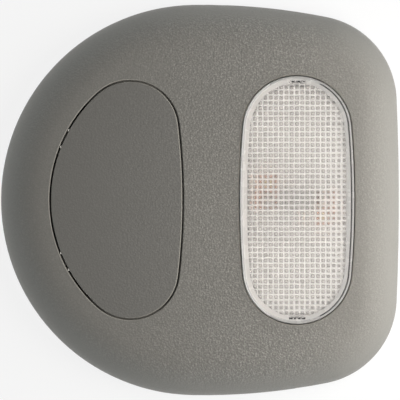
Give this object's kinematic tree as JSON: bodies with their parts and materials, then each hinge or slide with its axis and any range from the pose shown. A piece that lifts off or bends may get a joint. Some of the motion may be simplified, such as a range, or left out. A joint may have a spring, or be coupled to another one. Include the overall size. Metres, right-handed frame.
{
  "type": "car interior light",
  "caption": "Rounded roof-mounted car interior light: rolled-edge grained housing, clip-in blanking cover, oval prismatic lens, white reflector and festoon bulb.",
  "frame": {"origin": "middle of the outline, on the rim plane that lies against the roof lining", "axes": "+Z out of the lit face, +X from the blanking cover towards the lens, +Y across the face"},
  "size_m": [0.211, 0.207, 0.0282],
  "materials": {
    "housing_plastic": "grained warm grey moulding",
    "lens_clear": "clear moulding with a prism grid inside",
    "reflector_white": "white moulding",
    "contact_copper": "bare copper alloy strip",
    "rivet_brass": "bare",
    "bulb_glass": "clear",
    "bulb_cap": "plated",
    "filament": "dull wire",
    "screw_steel": "zinc plated"
  },
  "bodies": {
    "base": {"housing": "housing_plastic", "reflector": "reflector_white", "contact_left": "contact_copper", "contact_right": "contact_copper", "contact_rivets": "rivet_brass", "bulb_glass": "bulb_glass", "bulb_cap_left": "bulb_cap", "bulb_cap_right": "bulb_cap", "bulb_filament": "filament", "reflector_screws": "screw_steel"},
    "lens": {"lens": "lens_clear"},
    "cover": {"blanking_cover": "housing_plastic"}
  },
  "joints": [
    {"name": "lens_release", "type": "slide", "parent": "base", "child": "lens", "axis": [0, 0, 1], "range_m": [0, 0.04]},
    {"name": "cover_release", "type": "hinge", "parent": "base", "child": "cover", "pos_m": [-0.071, 0, 0.02575], "axis": [0, -1, 0], "range_deg": [0, 40]}
  ]
}
